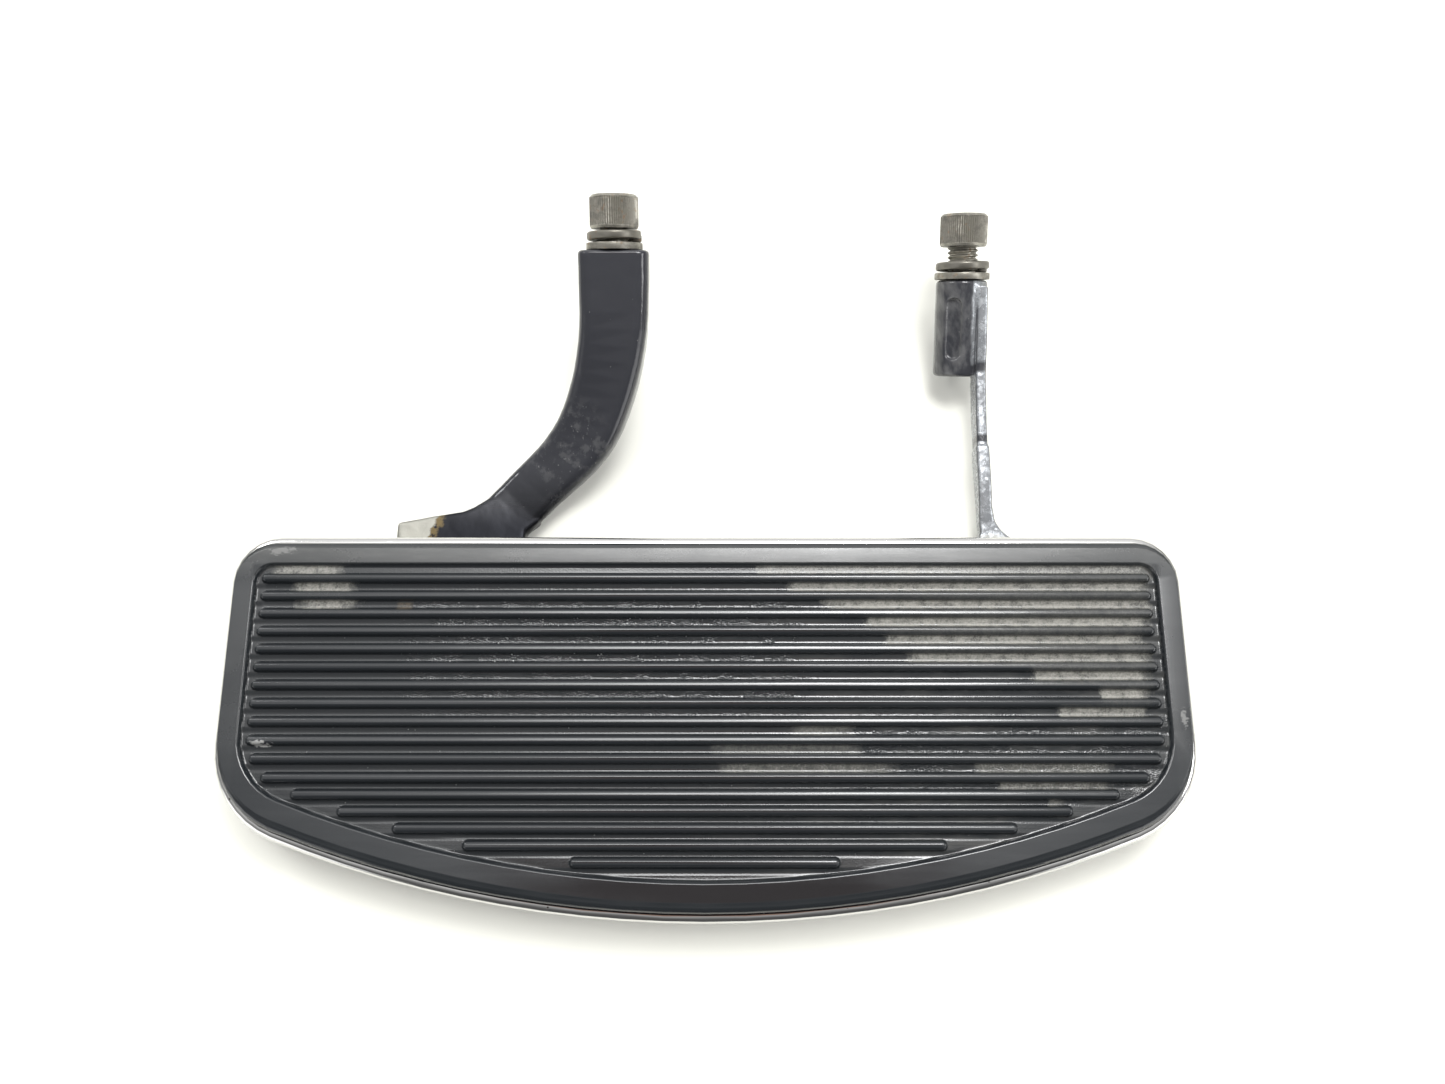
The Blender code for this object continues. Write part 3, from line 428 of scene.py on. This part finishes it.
def chromeMaterial():
    material, shader, place = newMaterial("brightPlate", {"Metallic": 1.0})
    y, z = axes(place)[1:]
    pits = rise(cells(place, panLook["pitSize"]), 0.13, 0.07) * rise(noise(place, 17), 0.52, 0.6)
    pits = pits * (1 - riseOver(y, panLook["noPits"]))
    grime = rise(noise(place, panLook["grimeSize"], 5, 0.7), 0.62, 0.70) * rise(noise(place, 21), 0.5, 0.62)
    dirty = larger(pits, grime * 0.6)
    inside = (1 - riseOver(z, panLook["inside"])) * (1 - rise(facingUp(place), *panLook["downwards"]))
    colour = blend(dirty, panLook["plate"], panLook["pit"])
    colour = blend(inside, colour, panLook["castGrey"])
    rough = 0.07 + 0.45 * larger(dirty, inside) + 0.06 * noise(place, 6)
    normal = bump(dirty, -0.05, 0.6)
    normal = bump(noise(place, panLook["waves"], 2), 0.10, 0.3, normal)
    return feed(material, shader, {"Base Color": colour, "Roughness": rough, "Normal": normal})


# Black paint on the two arms. Spans and places are in mm

armLook = {
    "paint": (0.032, 0.033, 0.039, 1), "deep": (0.012, 0.0125, 0.015, 1), "worn": (0.17, 0.17, 0.17, 1),
    # the silver grey is both worn-through paint and the rear blade's painted sheen
    "bare": (0.26, 0.257, 0.228, 1), "rust": (0.15, 0.115, 0.06, 1), "sheenAndChips": (0.50, 0.525, 0.55, 1),
    # front arm: the bare end of its foot and the rusty rim beside it, along x less a share of y
    "footLean": 0.45, "footEnd": (-108.5, -107.2), "rimEnd": (-106.2, -104.2), "footTop": (22, 26),
    # the shaded shoulder: the arm's low end, up to this span of y, is painted darker as shade
    "wearLean": 0.6, "wear": ((-48, -14), 6, (10, 52), 5), "shoulder": (6, 32),
    # rear arm: where the blade's silver begins (worn paint and a painted sheen), the two breaks in that sheen at
    # its notches, its chipped length and its foot
    "bladeStart": (101.2, 102.4), "sheenBreaks": ((67.5, 71.0), (40.5, 43.5)),
    "chipped": (3, 41), "bladeFoot": (3.2, 5.2),
}


def frontPaint():
    material, shader, place = newMaterial("frontArmPaint", {"Specular IOR Level": 0.5})
    x, y = axes(place)[:2]
    ragged = (noise(place, 3.0, 4, 0.6) - 0.5) * 7 * mm
    outwards = x + ragged - armLook["footLean"] * y
    belowTop = 1 - riseOver(y, armLook["footTop"])
    foot = (1 - riseOver(outwards, armLook["footEnd"])) * belowTop
    rim = (1 - riseOver(outwards, armLook["rimEnd"])) * belowTop
    rim = rim * (1 - foot) * rise(noise(place, 1.5), 0.35, 0.5)
    patch = inArea(x + armLook["wearLean"] * y, y, armLook["wear"])
    scuffs = rise(noise(place, 5.0, 4, 0.6), 0.48, 0.62) * patch
    scratches = rise(noise(stretched(place, 1, 0.4), 1.3, 4, 0.7), 0.62, 0.70) * patch
    scuffs = larger(scuffs * 0.22, scratches * 0.65)
    shoulder = 1 - riseOver(y, armLook["shoulder"])
    ticks = rise(cells(place, 5.5), 0.055, 0.03) * 0.7
    colour = blend(larger(scuffs, ticks), armLook["paint"], armLook["worn"])
    # painted shade: the arm's low end is darkened to near black
    colour = blend(shoulder, colour, armLook["deep"])
    colour = blend(rim, colour, armLook["rust"])
    colour = blend(foot, colour, armLook["bare"])
    metal = larger(foot * 0.35, shoulder * 0.95)
    rough = 0.12 + 0.4 * scuffs + 0.3 * larger(foot, shoulder * 0.8) + 0.3 * rim
    normal = bump(noise(place, 5, 2), 0.06, 0.5)
    normal = bump(larger(scuffs, foot * noise(place, 0.8)), 0.06, 0.6, normal)
    links = {"Base Color": colour, "Metallic": metal, "Roughness": rough, "Normal": normal}
    return feed(material, shader, links)


def rearPaint():
    material, shader, place = newMaterial("rearArmPaint", {"Specular IOR Level": 0.55})
    x, y = axes(place)[:2]
    blotch = noise(stretched(place, 1, 0.45), 5)
    chipped = rise(noise(place, 1.6, 5, 0.7), 0.56, 0.64) * between(y, armLook["chipped"], 2)
    blade = riseOver(x + (blotch - 0.5) * 2.5 * mm, armLook["bladeStart"])
    sheenBreaks = larger(*[between(y, span, 0.8) for span in armLook["sheenBreaks"]])
    sheenBlotches = rise(noise(place, 2.4, 4, 0.65), 0.40, 0.68)
    outline = within(facingUp(place), 0.30, 0.74, 0.10)     # the painted sheen stays off the blade's rounded edges, which keep the black paint
    # painted sheen: a blotchy silver highlight on the blade's top, on the same grey as the real chips in the
    # paint
    sheenAndChips = blade * (1 - sheenBreaks) * (1 - 0.85 * outline) * larger(0.40 + 0.42 * sheenBlotches, chipped)
    foot = 1 - riseOver(y + (noise(place, 2) - 0.5) * 4 * mm, armLook["bladeFoot"])
    ticks = rise(cells(place, 4.0), 0.07, 0.04) * 0.6
    dull = rise(noise(stretched(place, 1, 0.4), 5, 4), 0.40, 0.7) * 0.5
    colour = blend(larger(ticks, dull), armLook["paint"], armLook["worn"])
    colour = blend(sheenAndChips, colour, armLook["sheenAndChips"])
    colour = blend(foot, colour, armLook["bare"])
    metal = larger(sheenAndChips * 0.8, foot * 0.35)
    rough = 0.14 + 0.22 * sheenAndChips + 0.3 * foot
    normal = bump(blotch, 0.30, 0.7)
    normal = bump(noise(stretched(place, 1, 0.5), 1.6, 4, 0.6) * blade, 0.22, 0.6, normal)
    links = {"Base Color": colour, "Metallic": metal, "Roughness": rough, "Normal": normal}
    return feed(material, shader, links)


# Worn zinc on the screws and washers, and plain steel out of sight

zincLook = {
    "zinc": (0.36, 0.345, 0.30, 1), "grime": (0.15, 0.142, 0.122, 1), "rust": (0.20, 0.125, 0.07, 1),
    "screwGrime": 0.15, "washerGrime": 0.4, "springGrime": 0.85,    # how dark each one is all over
}
steelLook = {"steel": (0.42, 0.42, 0.41, 1), "stain": (0.19, 0.17, 0.15, 1)}


def zincMaterial(name, dark):
    material, shader, place = newMaterial(name, {"Specular IOR Level": 0.5})
    stain = rise(noise(place, 4.0, 5, 0.65), 0.40, 0.66)
    rust = rise(noise(stretched(place, 1, 0.7), 2.6, 4, 0.6), 0.58, 0.68)
    colour = blend(stain * (1 - dark) + dark, zincLook["zinc"], zincLook["grime"])
    colour = blend(rust * 0.6, colour, zincLook["rust"])
    metal = 0.85 - 0.6 * larger(rust, stain * 0.8)
    rough = 0.36 + 0.25 * stain + 0.2 * rust
    normal = bump(noise(place, 0.6, 4, 0.7), 0.05, 0.7)
    links = {"Base Color": colour, "Metallic": metal, "Roughness": rough, "Normal": normal}
    return feed(material, shader, links)


def steelMaterial():
    material, shader, place = newMaterial("plainSteel", {"Metallic": 0.9})
    stain = rise(noise(place, 6, 4, 0.6), 0.45, 0.7)
    colour = blend(stain, steelLook["steel"], steelLook["stain"])
    rough = 0.32 + 0.22 * stain
    normal = bump(noise(place, 0.8), 0.03, 0.5)
    return feed(material, shader, {"Base Color": colour, "Roughness": rough, "Normal": normal})


padRubber = rubberMaterial()
brightPlate = chromeMaterial()
frontArmPaint = frontPaint()
rearArmPaint = rearPaint()
wornZinc = zincMaterial("wornZinc", zincLook["screwGrime"])
wornWasher = zincMaterial("wornWasher", zincLook["washerGrime"])
darkSpring = zincMaterial("darkSpring", zincLook["springGrime"])
plainSteel = steelMaterial()
print("materials ready")


# The pad and the pan keep their solids' shapes, merged and shaded smooth up to an angle between faces

padShape = {"smoothAngle": 52}
panShape = {"smoothAngle": 34}


def makePad():
    pad = mergedCopy("rubber_pad", "ribbed_pad")
    smooth(pad, padShape["smoothAngle"])
    keepFlat(pad)
    hand(pad, "board", "black_rubber", padRubber, "rubber_pad")


def makePan():
    pan = mergedCopy("deck_pan", "plated_pan")
    smooth(pan, panShape["smoothAngle"])
    hand(pan, "board", "chrome", brightPlate, "deck_pan")


makePad()
makePan()
print("pad and pan ready")


# The arms, with the soft corners and uneven skin of painted castings

armShape = {"voxel": 0.45 * mm, "softening": 9, "unevenness": 0.18 * mm, "lumps": 7 * mm, "smoothAngle": 60}


def makeArm(nodeName, pieceName, body, material):
    arm = mergedCopy(nodeName, pieceName)
    skin = arm.modifiers.new("skin", "REMESH")
    skin.mode = "VOXEL"
    skin.voxel_size = armShape["voxel"]
    soften = arm.modifiers.new("soften", "SMOOTH")
    soften.iterations = armShape["softening"]
    lumps = bpy.data.textures.new("castLumps", "CLOUDS")
    lumps.noise_scale = armShape["lumps"]
    uneven = arm.modifiers.new("uneven", "DISPLACE")
    uneven.texture = lumps
    uneven.strength = armShape["unevenness"]
    uneven.mid_level = 0.5
    applyModifiers(arm)
    smooth(arm, armShape["smoothAngle"])
    hand(arm, body, "black_gloss_paint", material, nodeName)


makeArm("front_arm", "front_arm_casting", "front_bracket", frontArmPaint)
makeArm("rear_arm", "rear_arm_casting", "rear_bracket", rearArmPaint)
print("arms ready")


# Cap screws: a knurled head with a hex socket, on a rolled thread

screwShape = {
    "headRadius": 9.0 * mm, "headLength": 12.0 * mm, "rim": 0.9 * mm,
    "teeth": 64, "toothDepth": 0.40 * mm, "knurlEnds": (1.25, 1.45),    # from underside and top, in rims
    "socketWidth": 10.0 * mm, "socketDepth": 6.0 * mm,
    "threadRadius": 5.85 * mm, "threadDepth": 0.95 * mm, "pitch": 1.75 * mm, "length": 35 * mm,
    # one turn's outline, step by step: outwards in thread depths, along the screw in pitches
    "threadSteps": ((0, 0.12), (1, 0.38), (0, 0.12), (-1, 0.38)), "threadStart": 0.6, "stepsInTurn": 30,
    "headAngle": 28, "threadAngle": 24,         # smooth shading up to these angles between faces
}
mounts = {mount["name"]: mount for mount in frame["record"]["mounts"]}
boltAxis = Vector(mounts["bolted_arm_ends"]["axis"]).normalized()


def screwPlace(end):                            # underside of the head, with +Z out of the arm
    low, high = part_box(end + "_flat_washer")
    centre = (low + high) / 2
    solid = cadNodes[end + "_mount_screw"].data
    reach = max((vertex.co - centre).dot(boltAxis) for vertex in solid.vertices)
    seat = centre + boltAxis * (reach - screwShape["headLength"])
    return Matrix.Translation(seat) @ Matrix.Rotation(-math.atan2(boltAxis.y, boltAxis.z), 4, "X")


def makeHead(name):
    length, radius, rim = screwShape["headLength"], screwShape["headRadius"], screwShape["rim"]
    near = meshLimits["near"]
    bpy.ops.object.select_all(action="DESELECT")
    bpy.ops.mesh.primitive_cylinder_add(vertices=screwShape["teeth"] * 2, radius=radius, depth=length,
                                        location=(0, 0, length / 2))
    head = bpy.context.object
    head.name = name
    settle(head)
    bpy.ops.object.mode_set(mode="EDIT")
    knurlStart, knurlEnd = rim * screwShape["knurlEnds"][0], length - rim * screwShape["knurlEnds"][1]
    for height in (rim, knurlStart, knurlEnd, length - rim):
        bpy.ops.mesh.select_all(action="SELECT")
        bpy.ops.mesh.bisect(plane_co=(0, 0, height), plane_no=(0, 0, 1))
    step = math.pi / screwShape["teeth"]

    def inGroove(spot):                         # every other line of points
        turn = round(math.atan2(spot.y, spot.x) / step - 0.25)
        return turn % 2 == 0 and knurlStart - near < spot.z < knurlEnd + near

    drawIn(head, inGroove, screwShape["toothDepth"], radius)
    drawIn(head, lambda spot: spot.z > length - near, rim, radius)
    drawIn(head, lambda spot: spot.z < near, rim / 2, radius)
    bpy.ops.object.mode_set(mode="OBJECT")
    bpy.ops.object.select_all(action="DESELECT")
    bpy.ops.mesh.primitive_cylinder_add(vertices=6, radius=screwShape["socketWidth"] / math.sqrt(3),
                                        depth=screwShape["socketDepth"] * 2, location=(0, 0, length),
                                        rotation=(0, 0, math.pi / 2))
    cutWith(head, bpy.context.object)
    smooth(head, screwShape["headAngle"])
    return head


def makeThread(name):
    radius, depth, pitch = screwShape["threadRadius"], screwShape["threadDepth"], screwShape["pitch"]
    turns = int(screwShape["length"] / pitch) - 1
    bpy.ops.object.select_all(action="DESELECT")
    bpy.ops.mesh.primitive_plane_add(size=pitch, location=(0, 0, 0))
    thread = bpy.context.object
    thread.name = name
    bpy.ops.object.mode_set(mode="EDIT")
    bpy.ops.mesh.select_all(action="SELECT")
    bpy.ops.mesh.merge(type="CENTER")           # one point, from which the outline is drawn
    bpy.ops.transform.translate(value=(radius - depth, 0, 0))
    for outwards, along in screwShape["threadSteps"]:
        move = (outwards * depth, 0, along * pitch)
        bpy.ops.mesh.extrude_region_move(TRANSFORM_OT_translate={"value": move})
    bpy.ops.object.mode_set(mode="OBJECT")
    helix = thread.modifiers.new("helix", "SCREW")
    helix.axis = "Z"
    helix.steps = helix.render_steps = screwShape["stepsInTurn"]
    helix.iterations = turns
    helix.screw_offset = pitch
    helix.use_merge_vertices = True
    helix.merge_threshold = meshLimits["weld"]
    applyModifiers(thread)
    bpy.ops.object.mode_set(mode="EDIT")
    bpy.ops.mesh.select_all(action="SELECT")
    bpy.ops.mesh.remove_doubles(threshold=meshLimits["weld"])
    bpy.ops.mesh.select_all(action="DESELECT")
    bpy.ops.mesh.select_mode(type="EDGE")
    bpy.ops.mesh.select_non_manifold(extend=False)
    bpy.ops.mesh.fill()                         # both open ends
    bpy.ops.mesh.select_all(action="SELECT")
    bpy.ops.mesh.normals_make_consistent(inside=False)
    bpy.ops.transform.translate(value=(0, 0, screwShape["threadStart"] * pitch - turns * pitch))
    bpy.ops.object.mode_set(mode="OBJECT")
    smooth(thread, screwShape["threadAngle"])
    return thread


def makeScrew(end):
    head = makeHead(end + "_cap_screw")
    thread = makeThread(end + "_thread")
    selectOnly(head)
    thread.select_set(True)
    bpy.ops.object.join()
    settle(head, screwPlace(end))
    hand(head, end + "_bracket", "worn_zinc", wornZinc, end + "_mount_screw")


washerShape = {"flatEdge": 0.25 * mm, "splitEdge": 0.8 * mm, "splitSegments": 4, "smoothAngle": 34}


def makeWashers(end):
    flat = mergedCopy(end + "_flat_washer", end + "_plain_washer")
    softEdges(flat, washerShape["flatEdge"])
    smooth(flat, washerShape["smoothAngle"])
    hand(flat, end + "_bracket", "worn_zinc", wornWasher, end + "_flat_washer")
    split = mergedCopy(end + "_spring_washer", end + "_split_washer")
    softEdges(split, washerShape["splitEdge"], washerShape["splitSegments"])
    smooth(split, washerShape["smoothAngle"])
    hand(split, end + "_bracket", "worn_zinc", darkSpring, end + "_spring_washer")


for end in ("front", "rear"):
    makeScrew(end)
    makeWashers(end)
print("screws and washers ready")


# Steel pieces under the deck: hinge pins, clips, studs, washers and nuts

hiddenShape = {"edge": 0.2 * mm, "clipEdge": 0.15 * mm, "nutEdge": 0.3 * mm, "smoothAngle": 34}


def makeHidden(nodeName, pieceName, edge=hiddenShape["edge"]):
    piece = mergedCopy(nodeName, pieceName)
    softEdges(piece, edge)
    smooth(piece, hiddenShape["smoothAngle"])
    hand(piece, "board", "plain_steel", plainSteel, nodeName)


for end in ("front", "rear"):
    makeHidden(end + "_pivot_pin", end + "_hinge_pin")
    makeHidden(end + "_pin_washer", end + "_hinge_washer")
    makeHidden(end + "_pin_clip", end + "_hinge_clip", hiddenShape["clipEdge"])
for number in range(1, 5):
    makeHidden(f"pad_washer_{number}", f"stud_washer_{number}")
    makeHidden(f"pad_nut_{number}", f"stud_nut_{number}", hiddenShape["nutEdge"])
makeHidden("pad_plate", "studded_plate")
print("hidden steel ready")


# Floor, light and camera

studio = {
    "floor": (0.80, 0.80, 0.735, 1), "floorSize": 6, "floorLift": 0.10, "room": 0.38,
    # soft patches of light: where they are, how strong, and the angles at which they end and are full
    "patches": [
        ((0.02, 0.30, 1.0), 7.6, (15, 5)),      # the bright ceiling beyond the inboard side, and its wider glow
        ((0.02, 0.30, 1.0), 1.3, (30, 12)),
        ((0.02, 0.30, 1.0), 0.30, (65, 25)),
        ((0.0, 1.0, 0.45), 0.5, (50, 22)),      # pale walls low down: inboard, and at the front's right and left
        ((0.8, -0.6, 0.2), 2.4, (26, 12)),
        ((-0.8, -0.6, 0.2), 1.7, (26, 12)),
    ],
    # the dark side of the room, and the dim shape of whoever holds the camera overhead
    "darkSide": (0.0, -1.0, 0.25), "darkSpread": (80, 42), "darkness": 0.70,
    "viewer": (0.0, -0.07, 1.0), "viewerSpread": (13, 8), "viewerColour": (0.30, 0.19, 0.15, 1),
    # lamps: place, aim, side and power
    "lamps": {
        "leftLamp": ((-0.75, 0.58, 0.72), (-0.05, 0.05, 0), 0.30, 3.2),
        "rightLamp": ((1.0, -0.05, 0.75), (0.10, 0.05, 0), 0.40, 3.2),
        "keyLamp": ((0.22, 0.40, 1.0), (0, 0, 0), 0.30, 5.0),
    },
}
white = (1, 1, 1, 1)
photoView = {
    "lens": 27.7, "sensorWidth": 36, "clipStart": 0.01,
    "place": (6 * mm, -101.85 * mm, 420 * mm), "tilt": 0.2496,
}


def makeFloor():
    bpy.ops.object.select_all(action="DESELECT")
    bpy.ops.mesh.primitive_plane_add(size=studio["floorSize"], location=(0, 0, 0))
    floor = bpy.context.object
    floor.name = "floor"
    settle(floor)
    fixed = {"Base Color": studio["floor"], "Roughness": 0.9, "Specular IOR Level": 0.1}
    material, shader = newMaterial("paleFloor", fixed)[:2]
    tree = material.node_tree
    wire = Wire(tree)
    seen = larger(wire.node("LightPath", output=0), wire.node("LightPath", output=3))   # by camera or in gloss
    lift = wire.node("Emission", {}, {"Color": white, "Strength": seen * studio["floorLift"]})
    both = wire.node("AddShader", {}, {0: Wire(tree, shader.outputs[0]), 1: lift})
    output = next(node for node in tree.nodes if node.type == "OUTPUT_MATERIAL")
    tree.links.new(both.socket, output.inputs["Surface"])
    floor.data.materials.append(material)


def towards(direction, aim, spread):            # 1 near the aim, 0 outside the wider angle, in degrees
    facing = direction.node("VectorMath", {"operation": "DOT_PRODUCT"},
                            {0: direction, 1: Vector(aim).normalized()}, 1)
    return rise(facing, *[math.cos(math.radians(angle)) for angle in spread])


def makeWorld():
    world = bpy.data.worlds.new("softRoom")
    bpy.context.scene.world = world
    world.use_nodes = True
    tree = world.node_tree
    wire = Wire(tree)
    direction = wire.node("TexCoord")
    dark = studio["darkness"] * towards(direction, studio["darkSide"], studio["darkSpread"])
    level = studio["room"] * (1 - dark)
    for aim, strength, spread in studio["patches"]:
        level = level + strength * towards(direction, aim, spread)
    light = wire.node("CombineColor", {}, {0: level, 1: level, 2: level})
    viewer = towards(direction, studio["viewer"], studio["viewerSpread"])
    colour = blend(viewer, light, studio["viewerColour"])
    seen = wire.node("LightPath", output=0)     # the camera itself sees plain white
    colour = blend(seen, colour, white)
    background = tree.nodes["Background"]
    tree.links.new(colour.socket, background.inputs["Color"])
    background.inputs["Strength"].default_value = 1.0


def makeLamp(name, spot, aim, side, power):
    lamp = bpy.data.lights.new(name, "AREA")
    lamp.shape = "RECTANGLE"
    lamp.size = lamp.size_y = side
    lamp.energy = power
    holder = bpy.data.objects.new(name, lamp)
    holder.location = spot
    holder.rotation_euler = (Vector(aim) - Vector(spot)).to_track_quat("-Z", "Y").to_euler()
    bpy.context.scene.collection.objects.link(holder)


def makeCamera():
    camera = bpy.data.cameras.new("photoView")
    camera.lens = photoView["lens"]
    camera.sensor_width = photoView["sensorWidth"]
    camera.clip_start = photoView["clipStart"]
    holder = bpy.data.objects.new("photoView", camera)
    holder.location = photoView["place"]
    holder.rotation_euler = (photoView["tilt"], 0, 0)
    bpy.context.scene.collection.objects.link(holder)
    bpy.context.scene.camera = holder


makeFloor()
makeWorld()
for name, values in studio["lamps"].items():
    makeLamp(name, *values)
makeCamera()
bpy.context.scene.view_settings.view_transform = "Standard"
print("floor, light and camera ready")
